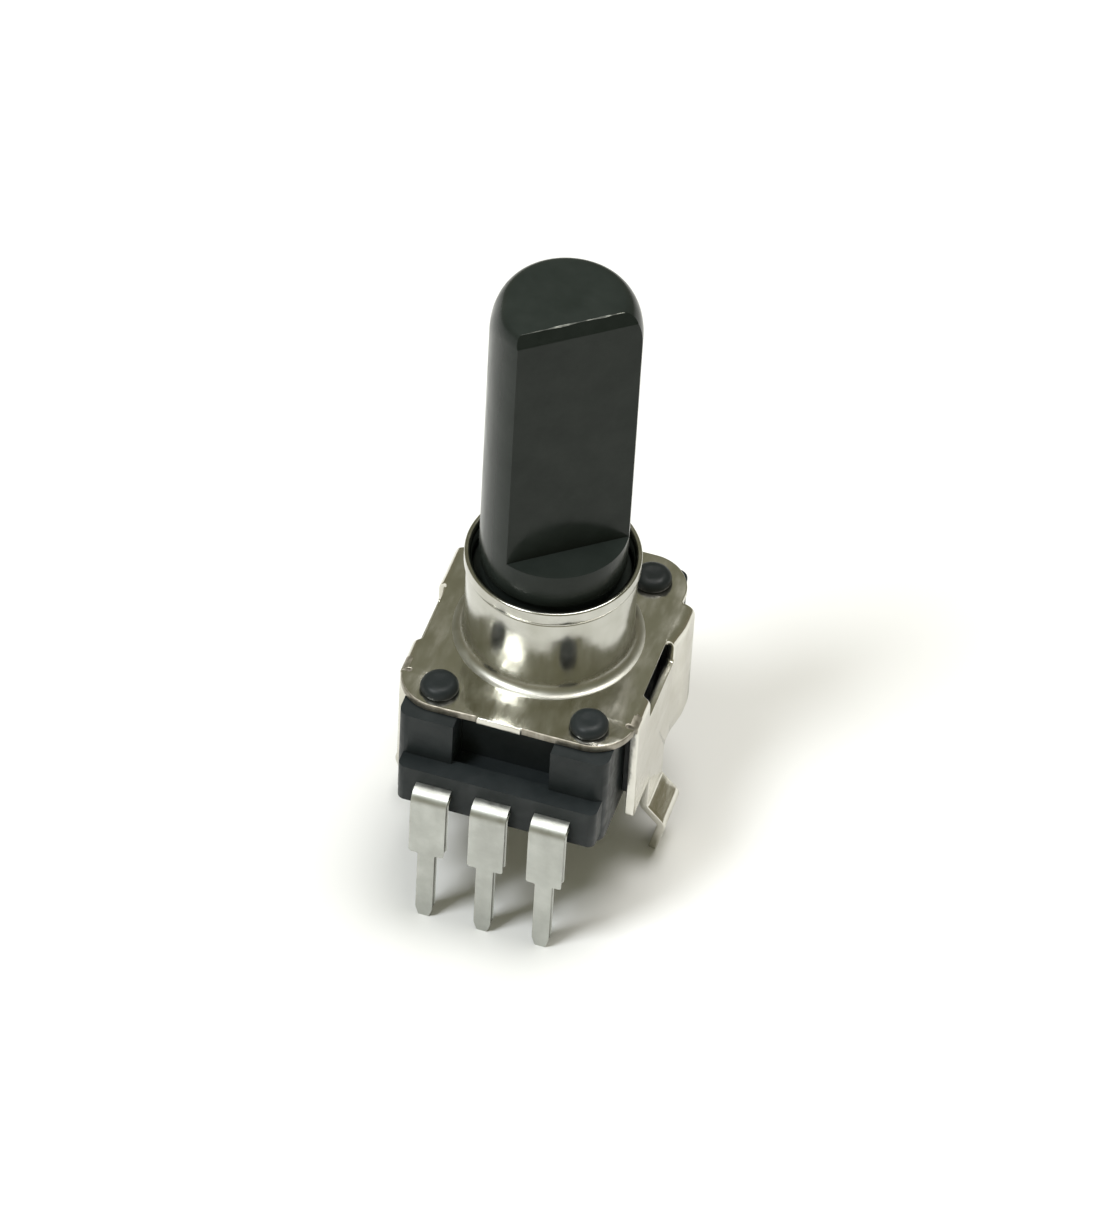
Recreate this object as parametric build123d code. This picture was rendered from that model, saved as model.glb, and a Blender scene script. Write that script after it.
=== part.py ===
from build123d import *
import os
import math

# Small board-mount rotary encoder with an insulated D-cut shaft.
# Millimetres. Origin on the shaft axis, in the plane of the circuit board's
# top face (where the terminals' shoulders and the case's standoffs rest).
# +Z points up the shaft, the terminals are on the -Y side.

os.makedirs("parts", exist_ok=True)

# ---------------------------------------------------------------- dimensions
SHAFT_R = 3.0            # 6 mm shaft
SHAFT_TOP = 25.0         # board to shaft tip
FLAT_BOTTOM = 12.5       # height of the ledge under the flat
FLAT_DIST = 1.5          # axis to flat (4.5 mm across the D)
FLAT_ANGLE = 37.5        # flat's normal, turned from -Y towards +X at rest
TIP_RADIAL = 0.88        # rounded tip, radial extent
TIP_AXIAL = 1.80         # rounded tip, axial extent
JOURNAL_R = 3.2          # running surface inside the collar
JOURNAL_TOP = 10.15
NECK_R = 2.80            # relief between the journal and the full-round stem
NECK_TOP = 10.85

COLLAR_BORE_R = 3.27
COLLAR_R = 3.48
COLLAR_TOP = 11.0
RIM_R = 3.60             # rolled rim, slightly proud of the collar wall
RIM_H = 0.62
RIM_LIP_R = 3.38         # where the rolled rim turns over into its flat top
FOOT_R = 0.50            # sweep of the drawn collar's foot into the plate
POCKET_R = 3.90          # recess under the plate for the flange and the slip washer
POCKET_DEPTH = 0.15

PLATE_TOP = 6.45
PLATE_T = 0.35
PLATE_HALF_X = 4.60
PLATE_FRONT = -5.72
PLATE_REAR = 5.55
PLATE_CORNER_R = 1.45    # rear corners
EAR_X = 4.92             # the front corners reach further out, ahead of the flaps
EAR_BACK = -4.12
PLATE_FRONT_R = 1.75     # front corners
FLAP_X = 5.05            # outer face of the side flaps
FLAP_FRONT = -3.95
FLAP_REAR = 3.30
FLAP_BOTTOM = 0.95
BEND_R = 0.45
BEND_SLOT_Y = (-2.25, 1.10)
BEND_SLOT_Z = 5.30

LUG_Y = -0.50
LUG_HALF_W = 1.05
LUG_TIP_HALF_W = 0.70
LUG_APEX_X = 5.85
LUG_TIP_X = 5.42
LUG_KNEE_Z = (-0.72, -1.56, -1.92)   # start of the outward slope, top and bottom of the apex

HOUSE_X = 4.40
HOUSE_FRONT = -6.20
HOUSE_REAR = 5.40
HOUSE_BOTTOM = 1.60
BLOCK_X = (-4.10, 4.28)  # low block in front, which the terminals come out of
BLOCK_FRONT = -6.98
BLOCK_Z = (2.05, 3.95)
FLOOR_Z = 3.27           # floor of the rotor cavity
CAVITY_R = 3.90
BEARING_R = 1.36
BEARING_Z = 1.95
POST_X = 3.15
POST_Y_FRONT = -4.60
POST_Y_REAR = 4.10
POST_R = 0.60
HEAD_R = 0.80
HEAD_H = 0.50
WINDOW_HALF_X = 2.05
WINDOW_Z = 3.95          # top of the lip across the window
WINDOW_FLOOR = 3.52      # floor behind the lip
LIP_BACK = -5.98
WINDOW_BACK = -4.95

PITCH = 2.5              # terminal pitch
ROW_Y = -7.53            # mid-plane of the terminals' legs
STRIP_T = 0.40
STRIP_W = 1.40
LEG_W = 0.62
STRIP_TOP = 3.27
PIN_TIP = -3.75
INNER_END = {-1: -1.4, 0: -2.9, 1: -1.4}   # how far each terminal reaches under the disc

STAR_R = 3.50
STAR_TEETH = 24
STAR_DEPTH = 0.16

CLEAR = 0.03

UNDER = PLATE_TOP - PLATE_T          # underside of the plate
FLANGE_TOP = UNDER - 0.05
FLANGE_BOTTOM = UNDER - 0.33
STAR_Z = (4.95, FLANGE_BOTTOM)
DISC_Z = (4.40, 4.55)


def save(shape, name, colour):
    if isinstance(shape, (list, ShapeList)):
        shape = Compound(children=list(shape))
    shape.label = name
    shape.color = Color(*colour)
    export_step(shape, "parts/%s.step" % name)


def cyl(r, z0, z1, x=0.0, y=0.0):
    return Pos(x, y, (z0 + z1) / 2) * Cylinder(r, z1 - z0)


def box(x0, x1, y0, y1, z0, z1):
    return Pos((x0 + x1) / 2, (y0 + y1) / 2, (z0 + z1) / 2) * Box(x1 - x0, y1 - y0, z1 - z0)


def rounded(x0, x1, y0, y1, z0, z1, r):
    s = Pos((x0 + x1) / 2, (y0 + y1) / 2, z0) * RectangleRounded(x1 - x0, y1 - y0, r)
    return extrude(s, z1 - z0, dir=(0, 0, 1))


def prism_yz(pts, x0, x1):
    """Closed outline in Y-Z, extruded along X."""
    w = Polyline(*[(x0, y, z) for y, z in pts], close=True)
    return extrude(make_face(w), x1 - x0, dir=(1, 0, 0))


def prism_xz(pts, y0, y1):
    """Closed outline in X-Z, extruded along Y."""
    w = Polyline(*[(x, y0, z) for x, z in pts], close=True)
    return extrude(make_face(w), y1 - y0, dir=(0, 1, 0))


# ------------------------------------------------------------- cover_frame
# Top plate with the four staking holes, the drawn collar with its rolled rim,
# the two bent side flaps and the snap-in lugs.
plate = box(-PLATE_HALF_X, PLATE_HALF_X, EAR_BACK - 0.5, PLATE_REAR, UNDER, PLATE_TOP)
uprights = plate.edges().filter_by(Axis.Z).sort_by(Axis.Y)
plate = fillet(uprights[-2:], PLATE_CORNER_R)
ears = box(-EAR_X, EAR_X, PLATE_FRONT, 0.0, UNDER, PLATE_TOP)
uprights = ears.edges().filter_by(Axis.Z).sort_by(Axis.Y)
ears = fillet(uprights[:2], PLATE_FRONT_R)
plate = plate + (ears & box(-6, 6, PLATE_FRONT - 1, EAR_BACK, UNDER - 1, PLATE_TOP + 1))
# rolled rim: a bulging ring whose section is one arc, from the wall to the flat top
z_rim = COLLAR_TOP - RIM_H
rim_arc = ThreePointArc((COLLAR_R, z_rim), (RIM_R, z_rim + 0.26), (RIM_LIP_R, COLLAR_TOP))
rim_rest = Polyline((RIM_LIP_R, COLLAR_TOP), (COLLAR_BORE_R - 0.05, COLLAR_TOP), (COLLAR_BORE_R - 0.05, z_rim), (COLLAR_R, z_rim))
rim = revolve(Plane.XZ * make_face(Curve() + [rim_arc, rim_rest]), Axis.Z, 360)
cover = plate + cyl(COLLAR_R, PLATE_TOP, z_rim)

# the collar's foot sweeps into the plate
def circle_edges(shape, r, z):
    out = []
    for e in shape.edges().filter_by(GeomType.CIRCLE):
        if abs(e.radius - r) < 1e-3 and abs(e.arc_center.Z - z) < 1e-3 and math.hypot(e.arc_center.X, e.arc_center.Y) < 1e-3:
            out.append(e)
    return out

cover = fillet(circle_edges(cover, COLLAR_R, PLATE_TOP), FOOT_R)
cover = cover + rim

# recess under the plate for the slip washer, and the collar's bore
cover = cover - cyl(POCKET_R, UNDER - 1, UNDER + POCKET_DEPTH)
cover = cover - cyl(COLLAR_BORE_R, UNDER - 1, COLLAR_TOP + 1)

for sx in (-1, 1):
    for py in (POST_Y_FRONT, POST_Y_REAR):
        cover = cover - cyl(POST_R + 0.02, UNDER - 1, PLATE_TOP + 1, sx * POST_X, py)

# side flap: the plate's edge bent down through a quarter turn
def flap_section(n=7):
    ro = BEND_R
    ri = BEND_R - PLATE_T
    cx, cz = FLAP_X - ro, PLATE_TOP - ro
    outer = [(cx + ro * math.sin(a), cz + ro * math.cos(a)) for a in [math.radians(90 * i / n) for i in range(n + 1)]]
    inner = [(cx + ri * math.sin(a), cz + ri * math.cos(a)) for a in [math.radians(90 * i / n) for i in range(n + 1)]]
    pts = [(4.0, PLATE_TOP)] + outer + [(FLAP_X, FLAP_BOTTOM), (FLAP_X - PLATE_T, FLAP_BOTTOM)]
    pts += list(reversed(inner)) + [(4.0, UNDER)]
    return pts

flap = prism_xz(flap_section(), FLAP_FRONT, FLAP_REAR)
flap = flap - box(PLATE_HALF_X + 0.02, FLAP_X + 1, BEND_SLOT_Y[0], BEND_SLOT_Y[1], BEND_SLOT_Z, PLATE_TOP + 1)

# lug: straight neck, outward knee below the board, tip drawn back in
t = PLATE_T
z0, z1, z2 = LUG_KNEE_Z
neck = [(FLAP_X - t, FLAP_BOTTOM + 0.02), (FLAP_X, FLAP_BOTTOM + 0.02), (FLAP_X, z0), (LUG_APEX_X, z1),
        (LUG_APEX_X, z2), (LUG_TIP_X, PIN_TIP), (LUG_TIP_X - t, PIN_TIP), (LUG_APEX_X - t - 0.06, z2 + 0.02),
        (LUG_APEX_X - t - 0.06, z1 - 0.16), (FLAP_X - t, z0 - 0.14)]
lug = prism_xz(neck, LUG_Y - LUG_HALF_W, LUG_Y + LUG_HALF_W)
for s in (-1, 1):
    y0 = LUG_Y + s * LUG_HALF_W
    y1 = LUG_Y + s * LUG_TIP_HALF_W
    lug = lug - prism_yz([(y0 + s * 0.5, -2.0), (y0, -2.0), (y1, PIN_TIP - 0.01), (y1, PIN_TIP - 0.5), (y0 + s * 0.5, PIN_TIP - 0.5)], 4.0, 7.0)
side = flap + lug
cover = cover + side + mirror(side, about=Plane.YZ)
save(cover, "cover_frame", (0.78, 0.76, 0.70))

# ----------------------------------------------------------------- housing
case = rounded(-HOUSE_X, HOUSE_X, HOUSE_FRONT, HOUSE_REAR, HOUSE_BOTTOM, UNDER, 0.5)
case = case + rounded(BLOCK_X[0], BLOCK_X[1], BLOCK_FRONT, HOUSE_FRONT + 1.2, BLOCK_Z[0], BLOCK_Z[1], 0.3)
# locating ribs that the side flaps close on
for sx in (-1, 1):
    x0, x1 = sorted((sx * (HOUSE_X - 0.3), sx * (FLAP_X - PLATE_T - 0.02)))
    case = case + box(x0, x1, -3.4, -2.4, HOUSE_BOTTOM + 0.3, 5.1) + box(x0, x1, 1.4, 2.6, HOUSE_BOTTOM + 0.3, 5.1)
case = case - cyl(CAVITY_R, FLOOR_Z, UNDER + 1)
# leaf-spring pocket between the rotor cavity and the front window
case = case - box(-3.30, 3.30, -4.66, -3.0, 4.75, UNDER + 1)
# front window, open at the top under the plate, with a thin lip along its sill
case = case - box(-WINDOW_HALF_X, WINDOW_HALF_X, HOUSE_FRONT - 1, WINDOW_BACK, WINDOW_Z, UNDER + 1)
case = case - box(-WINDOW_HALF_X, WINDOW_HALF_X, LIP_BACK, WINDOW_BACK, WINDOW_FLOOR, WINDOW_Z + 0.5)
# bearing bore for the shaft's lower end
case = case - cyl(BEARING_R, BEARING_Z, FLOOR_Z + 1)
# coring under the floor
for sx in (-1, 1):
    x0, x1 = sorted((sx * 2.05, sx * 3.75))
    case = case - box(x0, x1, -1.2, 2.9, HOUSE_BOTTOM - 1, 2.45)
case = case - box(-1.5, 1.5, 2.3, 4.6, HOUSE_BOTTOM - 1, 2.45)
# standoffs that rest on the board, and the boss under the bearing
case = case + cyl(1.75, 0.0, BEARING_Z)
for sx in (-1, 1):
    for py in (-3.6, 4.2):
        case = case + cyl(0.62, 0.0, HOUSE_BOTTOM + 0.3, sx * 3.1, py)
# channels that the terminals' inner runs are moulded into
for i in (-1, 0, 1):
    case = case - box(i * PITCH - STRIP_W / 2, i * PITCH + STRIP_W / 2, BLOCK_FRONT - 1, INNER_END[i], STRIP_TOP - STRIP_T, STRIP_TOP)
# heat-staked posts
for sx in (-1, 1):
    for py in (POST_Y_FRONT, POST_Y_REAR):
        head = cyl(HEAD_R, PLATE_TOP, PLATE_TOP + HEAD_H, sx * POST_X, py)
        head = fillet(head.edges().filter_by(GeomType.CIRCLE).sort_by(Axis.Z)[-1:], 0.30)
        case = case + cyl(POST_R, UNDER - 0.3, PLATE_TOP + 0.05, sx * POST_X, py) + head
save(case, "housing", (0.10, 0.11, 0.12))

# ------------------------------------------------------------------- shaft
# Outline turned about Z: pivot, drive tongue blank, flange, journal, relief
# neck, full-round stem, D length and the rounded tip; then the D flat and the
# tongue's two flats.
ax = Line((0, 2.05), (0, SHAFT_TOP))
top = Line((0, SHAFT_TOP), (SHAFT_R - TIP_RADIAL, SHAFT_TOP))
arc = EllipticalCenterArc((SHAFT_R - TIP_RADIAL, SHAFT_TOP - TIP_AXIAL), TIP_RADIAL, TIP_AXIAL, start_angle=0, arc_size=90)
rest = Polyline((SHAFT_R, SHAFT_TOP - TIP_AXIAL), (SHAFT_R, FLAT_BOTTOM), (SHAFT_R + 0.01, FLAT_BOTTOM),
                (SHAFT_R + 0.01, NECK_TOP), (NECK_R, NECK_TOP), (NECK_R, JOURNAL_TOP),
                (JOURNAL_R, JOURNAL_TOP), (JOURNAL_R, FLANGE_TOP), (3.60, FLANGE_TOP), (3.60, FLANGE_BOTTOM + 0.02),
                (2.20, FLANGE_BOTTOM + 0.02), (2.20, 4.62), (1.30, 4.62), (1.30, 2.05), (0, 2.05))
prof = Plane.XZ * make_face(Curve() + [ax, top, arc, rest])
shaft = revolve(prof, Axis.Z, 360)
flat = Pos(0, -(FLAT_DIST + 5), (FLAT_BOTTOM + SHAFT_TOP + 1) / 2) * Box(12, 10, SHAFT_TOP + 1 - FLAT_BOTTOM)
shaft = shaft - Rot(0, 0, FLAT_ANGLE) * flat
for s in (-1, 1):
    x0, x1 = sorted((s * 1.55, s * 4.0))
    shaft = shaft - box(x0, x1, -4, 4, 4.0, FLANGE_BOTTOM + 0.02)
save(shaft, "shaft", (0.12, 0.13, 0.13))

# ------------------------------------------------------------------- rotor
# Contact carrier: a plain skirt below, the 24-step star wheel above, and a
# bore keyed to the shaft's tongue. A valley faces the click spring at rest.
rotor = cyl(3.50, DISC_Z[1], STAR_Z[0]) + cyl(STAR_R, STAR_Z[0], STAR_Z[1])
scallop_r = 0.30
for i in range(STAR_TEETH):
    a = math.radians(-90 + 360.0 / STAR_TEETH * i)
    rr = STAR_R - STAR_DEPTH + scallop_r
    rotor = rotor - cyl(scallop_r, STAR_Z[0], STAR_Z[1] + 1, rr * math.cos(a), rr * math.sin(a))
key = cyl(2.22, DISC_Z[1] - 1, STAR_Z[1] + 1) & box(-1.57, 1.57, -3, 3, DISC_Z[1] - 1, STAR_Z[1] + 1)
rotor = rotor - key
save(rotor, "rotor", (0.80, 0.78, 0.70))

# --------------------------------------------------------------- code_disc
# Slotted contact plate: an unbroken inner ring for the common contact and
# twelve windows in the outer track.
disc = cyl(3.40, DISC_Z[0], DISC_Z[1]) - cyl(1.45, DISC_Z[0] - 1, DISC_Z[1] + 1)
ring = cyl(3.15, DISC_Z[0] - 1, DISC_Z[1] + 1) - cyl(2.45, DISC_Z[0] - 1, DISC_Z[1] + 1)
for i in range(12):
    disc = disc - (ring & (Rot(0, 0, 30 * i) * box(2.0, 3.5, -0.36, 0.36, DISC_Z[0] - 1, DISC_Z[1] + 1)))
save(disc, "code_disc", (0.86, 0.72, 0.42))

# ------------------------------------------------------------ click_spring
# Leaf spring standing in the pocket: two ends against the front wall and a
# rounded bump resting in a valley of the star wheel.
ts = 0.18
valley = STAR_R - STAR_DEPTH
yb = -(valley + 0.05)                     # crest of the bump
out_pts = [(-3.1, -4.62), (-3.1, -4.62 + ts), (-1.5, -4.10), (-0.34, -3.92), (-0.12, yb), (0.12, yb),
           (0.34, -3.92), (1.5, -4.10), (3.1, -4.62 + ts), (3.1, -4.62), (1.55, -4.10 - ts), (0.42, -3.92 - ts),
           (0.10, yb - ts - 0.02), (-0.10, yb - ts - 0.02), (-0.42, -3.92 - ts), (-1.55, -4.10 - ts)]
w = Polyline(*[(x, y, 4.98) for x, y in out_pts], close=True)
spring = extrude(make_face(w), 0.72, dir=(0, 0, 1))
save(spring, "click_spring", (0.72, 0.72, 0.70))

# ----------------------------------------------------------- thrust_washer
washer = cyl(3.66, FLANGE_TOP + 0.03, FLANGE_TOP + 0.18) - cyl(3.30, FLANGE_TOP - 1, FLANGE_TOP + 1)
save(washer, "thrust_washer", (0.85, 0.84, 0.78))

# --------------------------------------------------------------- terminals
# Flat strip lying in the case floor, out through the front face, bent down,
# wide down to the board and narrow through it.
def terminal(ix, inner_y):
    x = ix * PITCH
    yo = ROW_Y - STRIP_T / 2              # outer face of the leg
    yi = ROW_Y + STRIP_T / 2
    zo = STRIP_TOP
    zi = STRIP_TOP - STRIP_T
    ro, ri, n = 0.62, 0.22, 6
    cy, cz = yo + ro, zo - ro
    outer = [(cy - ro * math.sin(a), cz + ro * math.cos(a)) for a in [math.radians(90 * i / n) for i in range(n + 1)]]
    inner = [(cy - ri * math.sin(a), cz + ri * math.cos(a)) for a in [math.radians(90 * i / n) for i in range(n + 1)]]
    pts = [(inner_y, zo)] + outer + [(yo, PIN_TIP), (yi, PIN_TIP)] + list(reversed(inner)) + [(inner_y, zi)]
    body = prism_yz(pts, x - STRIP_W / 2, x + STRIP_W / 2)
    for s in (-1, 1):
        x0, x1 = sorted((x + s * LEG_W / 2, x + s * STRIP_W))
        body = body - box(x0, x1, yo - 1, yi + 0.3, PIN_TIP - 1, 0.0)
        # tapered tip
        tip = [(x + s * LEG_W / 2, PIN_TIP + 0.45), (x + s * (LEG_W / 2 + 0.5), PIN_TIP + 0.45),
               (x + s * (LEG_W / 2 + 0.5), PIN_TIP - 0.5), (x + s * (LEG_W / 2 - 0.12), PIN_TIP - 0.5),
               (x + s * (LEG_W / 2 - 0.12), PIN_TIP)]
        body = body - prism_xz(tip, yo - 1, yi + 1)
    return body

for nm, ix in (("a", -1), ("c", 0), ("b", 1)):
    save(terminal(ix, INNER_END[ix]), "terminal_" + nm, (0.80, 0.80, 0.76))

# ----------------------------------------------------------------- brushes
# Sprung finger on each terminal's inner end, rising to just under the disc.
def brush(x, y_foot, y_tip):
    tb = 0.10
    z0 = STRIP_TOP + 0.01
    z1 = DISC_Z[0] - 0.05
    s = 1 if y_tip > y_foot else -1
    pts = [(y_foot, z0), (y_foot + s * 0.6, z0), (y_tip - s * 0.25, z1 - tb), (y_tip, z1 - tb - 0.12), (y_tip, z1 - 0.10),
           (y_tip - s * 0.25, z1), (y_foot + s * 0.55, z0 + tb), (y_foot, z0 + tb)]
    return prism_yz(pts, x - 0.28, x + 0.28)

save(brush(-PITCH, -2.3, 1.1), "brush_a", (0.85, 0.70, 0.40))
save(brush(0.0, -3.75, -1.75), "brush_c", (0.85, 0.70, 0.40))
save(brush(PITCH, -2.3, 1.1), "brush_b", (0.85, 0.70, 0.40))
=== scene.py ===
import math

import bpy
import bmesh
from mathutils import Matrix, Vector, noise
from mathutils.bvhtree import BVHTree


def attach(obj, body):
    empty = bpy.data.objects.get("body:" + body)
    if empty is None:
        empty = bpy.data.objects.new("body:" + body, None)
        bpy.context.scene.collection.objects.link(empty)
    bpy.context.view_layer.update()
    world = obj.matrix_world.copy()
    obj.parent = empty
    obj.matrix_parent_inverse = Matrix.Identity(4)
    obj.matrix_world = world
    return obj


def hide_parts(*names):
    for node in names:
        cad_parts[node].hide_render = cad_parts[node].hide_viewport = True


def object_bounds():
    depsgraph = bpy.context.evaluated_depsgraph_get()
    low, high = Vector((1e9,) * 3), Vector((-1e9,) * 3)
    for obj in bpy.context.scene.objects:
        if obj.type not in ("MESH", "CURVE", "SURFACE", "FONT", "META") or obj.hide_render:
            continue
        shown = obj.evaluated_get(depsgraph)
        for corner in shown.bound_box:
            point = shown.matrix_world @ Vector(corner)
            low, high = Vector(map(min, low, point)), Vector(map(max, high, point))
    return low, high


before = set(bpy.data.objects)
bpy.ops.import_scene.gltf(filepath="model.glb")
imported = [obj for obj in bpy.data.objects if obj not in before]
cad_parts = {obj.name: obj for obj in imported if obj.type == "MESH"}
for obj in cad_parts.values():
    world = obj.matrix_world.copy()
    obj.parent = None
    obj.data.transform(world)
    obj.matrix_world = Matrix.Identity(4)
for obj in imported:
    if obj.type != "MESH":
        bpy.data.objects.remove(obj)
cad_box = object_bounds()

scene = bpy.context.scene
scene.view_settings.view_transform = "Standard"
scene.view_settings.look = "None"
scene.view_settings.exposure = 0.0
scene.view_settings.gamma = 1.0

MM = 0.001

# ------------------------------------------------------------------ camera
cam = bpy.data.cameras.new("camera")
cam.sensor_fit = "AUTO"
cam.sensor_width = 36.0
cam.lens = 206.367
cam.clip_start = 0.01
cam.clip_end = 20.0
cam_o = bpy.data.objects.new("camera", cam)
scene.collection.objects.link(cam_o)
cr = (0.9521953, 0.3027394, 0.0409018)
cu = (-0.2452512, 0.6777226, 0.6932127)
cb = (0.1821427, -0.6701051, 0.7195715)
cam_o.matrix_world = Matrix((
    (cr[0], cu[0], cb[0], 0.0509274),
    (cr[1], cu[1], cb[1], -0.1878649),
    (cr[2], cu[2], cb[2], 0.2095551),
    (0, 0, 0, 1)))
scene.camera = cam_o

FLOOR_Z = cad_box[0][2]


# ------------------------------------------------------------ node helpers
class Mat:
    """A material with a Principled shader and short helpers for its nodes."""

    def __init__(self, name):
        self.m = bpy.data.materials.new(name)
        self.m.use_nodes = True
        self.nt = self.m.node_tree
        self.nt.nodes.clear()
        self.out = self.nt.nodes.new("ShaderNodeOutputMaterial")
        self.b = self.nt.nodes.new("ShaderNodeBsdfPrincipled")
        self.nt.links.new(self.b.outputs["BSDF"], self.out.inputs["Surface"])
        tc = self.nt.nodes.new("ShaderNodeTexCoord")
        self.obj = tc.outputs["Object"]

    def set(self, **kw):
        names = {"color": "Base Color", "metallic": "Metallic", "rough": "Roughness", "ior": "IOR",
                 "spec": "Specular IOR Level", "coat": "Coat Weight", "coat_rough": "Coat Roughness"}
        for k, v in kw.items():
            self.b.inputs[names[k]].default_value = v
        return self

    def link(self, a, b):
        self.nt.links.new(a, b)

    def coords(self, sx=1000.0, sy=1000.0, sz=1000.0):
        """Object coordinates in millimetres, stretched as asked."""
        n = self.nt.nodes.new("ShaderNodeMapping")
        n.inputs["Scale"].default_value = (sx, sy, sz)
        self.link(self.obj, n.inputs["Vector"])
        return n.outputs["Vector"]

    def noise(self, vec, scale, detail=4.0, rough=0.55, distort=0.0):
        n = self.nt.nodes.new("ShaderNodeTexNoise")
        n.inputs["Scale"].default_value = scale
        n.inputs["Detail"].default_value = detail
        n.inputs["Roughness"].default_value = rough
        n.inputs["Distortion"].default_value = distort
        self.link(vec, n.inputs["Vector"])
        return n.outputs["Fac"]

    def ramp(self, fac, lo, hi, a=0.35, b=0.65):
        """Maps a factor between a and b to a number from lo to hi."""
        n = self.nt.nodes.new("ShaderNodeMapRange")
        n.inputs["From Min"].default_value = a
        n.inputs["From Max"].default_value = b
        n.inputs["To Min"].default_value = lo
        n.inputs["To Max"].default_value = hi
        self.link(fac, n.inputs["Value"])
        return n.outputs["Result"]

    def height(self, z0, z1, lo, hi):
        """A number going from lo at height z0 to hi at z1 (millimetres)."""
        n = self.nt.nodes.new("ShaderNodeSeparateXYZ")
        self.link(self.obj, n.inputs["Vector"])
        return self.ramp(n.outputs["Z"], lo, hi, z0 * MM, z1 * MM)

    def add(self, a, b):
        n = self.nt.nodes.new("ShaderNodeMath")
        n.operation = "ADD"
        self.link(a, n.inputs[0])
        self.link(b, n.inputs[1])
        return n.outputs["Value"]

    def colours(self, fac, stops):
        n = self.nt.nodes.new("ShaderNodeValToRGB")
        e = n.color_ramp.elements
        while len(e) < len(stops):
            e.new(0.5)
        for el, (pos, col) in zip(e, stops):
            el.position = pos
            el.color = (*col, 1)
        self.link(fac, n.inputs["Fac"])
        return n.outputs["Color"]

    def bump(self, height, strength, distance_mm, prev=None):
        n = self.nt.nodes.new("ShaderNodeBump")
        n.inputs["Strength"].default_value = strength
        n.inputs["Distance"].default_value = distance_mm * MM
        self.link(height, n.inputs["Height"])
        if prev is not None:
            self.link(prev, n.inputs["Normal"])
        return n.outputs["Normal"]

    def rough(self, s):
        self.link(s, self.b.inputs["Roughness"])

    def colour(self, s):
        self.link(s, self.b.inputs["Base Color"])

    def normal(self, s):
        self.link(s, self.b.inputs["Normal"])


def nickel():
    """Bright nickel over rolled sheet: mirror-like, a little warm, softly uneven."""
    k = Mat("nickel_plate").set(metallic=1.0)
    v = k.coords()
    stain = k.noise(v, 0.55, 3.0)
    k.colour(k.colours(stain, [(0.30, (0.60, 0.58, 0.51)), (0.52, (0.695, 0.68, 0.62)), (0.75, (0.75, 0.735, 0.685))]))
    smear = k.noise(k.coords(1000, 300, 1000), 1.4, 5.0, 0.62)
    k.rough(k.ramp(smear, 0.12, 0.27, 0.36, 0.66))
    wave = k.noise(k.coords(1000, 360, 1000), 1.0, 3.0, 0.5)
    n = k.bump(wave, 0.75, 0.040)
    grain = k.noise(k.coords(1000, 90, 1000), 9.0, 3.0, 0.6)
    n = k.bump(grain, 0.20, 0.0035, n)
    k.normal(n)
    return k.m


def collar_nickel_shaded():
    """The drawn collar: the same plating, with faint turned rings and draw lines; its base colour is darker than the
    plate's as painted shade.
    """
    k = Mat("nickel_collar_painted_shade").set(metallic=1.0)
    v = k.coords()
    stain = k.noise(v, 0.6, 3.0)
    # random tone of the plating, set lower than the plate's: painted shade
    k.colour(k.colours(stain, [(0.30, (0.42, 0.415, 0.365)), (0.52, (0.49, 0.485, 0.44)), (0.75, (0.55, 0.545, 0.505))]))
    k.rough(k.add(k.ramp(k.noise(k.coords(1000, 1000, 300), 1.8, 4.0), 0.15, 0.25, 0.35, 0.70), k.height(6.55, 7.10, 0.17, 0.0)))
    n = k.bump(k.noise(k.coords(420, 420, 1500), 1.0, 3.0, 0.55), 0.35, 0.010)
    n = k.bump(k.noise(k.coords(1000, 1000, 120), 7.0, 3.0), 0.18, 0.003, n)
    k.normal(n)
    return k.m


def sheared_edge():
    """The stamped sheet's cut edge: torn, dull and darker than the plated faces."""
    k = Mat("sheared_edge").set(metallic=1.0)
    v = k.coords()
    k.colour(k.colours(k.noise(k.coords(1000, 1000, 250), 3.0, 4.0), [(0.30, (0.25, 0.23, 0.19)), (0.52, (0.36, 0.335, 0.285)), (0.76, (0.47, 0.44, 0.38))]))
    k.rough(k.ramp(k.noise(v, 4.0, 4.0), 0.42, 0.60))
    k.normal(k.bump(k.noise(k.coords(1000, 1000, 150), 9.0, 4.0), 0.6, 0.012))
    return k.m


def tin():
    """Tin-plated brass strip: pale, satin, brushed along its length."""
    k = Mat("terminal_tin").set(metallic=1.0)
    v = k.coords()
    patch = k.noise(v, 1.1, 4.0)
    k.colour(k.colours(patch, [(0.30, (0.41, 0.415, 0.39)), (0.50, (0.46, 0.47, 0.44)), (0.72, (0.52, 0.53, 0.50))]))
    k.rough(k.ramp(k.noise(k.coords(1000, 400, 240), 3.0, 5.0), 0.36, 0.47))
    n = k.bump(k.noise(k.coords(1000, 160, 130), 8.0, 3.0), 0.30, 0.006)
    n = k.bump(k.noise(v, 1.4, 2.0), 0.35, 0.020, n)
    k.normal(n)
    return k.m


def case_plastic():
    """Moulded glass-filled plastic, blue-black, satin with a fine grain."""
    k = Mat("case_plastic").set(spec=0.24)
    v = k.coords()
    k.colour(k.colours(k.noise(v, 0.9, 5.0), [(0.30, (0.0135, 0.0175, 0.0185)), (0.55, (0.0180, 0.0225, 0.0240)), (0.80, (0.0240, 0.0290, 0.0305))]))
    k.rough(k.ramp(k.noise(v, 2.2, 4.0), 0.36, 0.52))
    n = k.bump(k.noise(v, 14.0, 4.0, 0.65), 0.35, 0.006)
    n = k.bump(k.noise(v, 0.9, 2.0), 0.30, 0.03, n)
    k.normal(n)
    return k.m


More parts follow.
